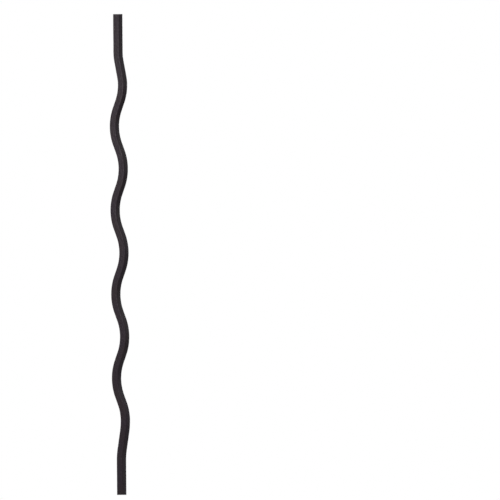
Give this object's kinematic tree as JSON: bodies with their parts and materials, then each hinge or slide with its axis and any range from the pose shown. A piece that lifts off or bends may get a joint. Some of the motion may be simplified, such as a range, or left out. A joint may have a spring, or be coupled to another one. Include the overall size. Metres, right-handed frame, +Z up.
{
  "type": "wavy baluster",
  "caption": "Upright stair baluster of solid square iron bar, bent side to side in an even wave between straight plain ends that fix into a tread and a handrail.",
  "frame": {"origin": "centre of the foot's sawn end face, on the axis of the two straight shanks", "axes": "+Z up the shanks from foot to head, +X across the wave towards the lowest crest, the two flat faces look along -Y and +Y"},
  "size_m": [0.0405, 0.0172, 1.1176],
  "materials": {
    "bronze_coat": "satin dark bronze coat over hammered iron, mottled, a little rubbed along the edges"
  },
  "bodies": {
    "root": {"wavy_baluster": "bronze_coat"}
  },
  "joints": []
}
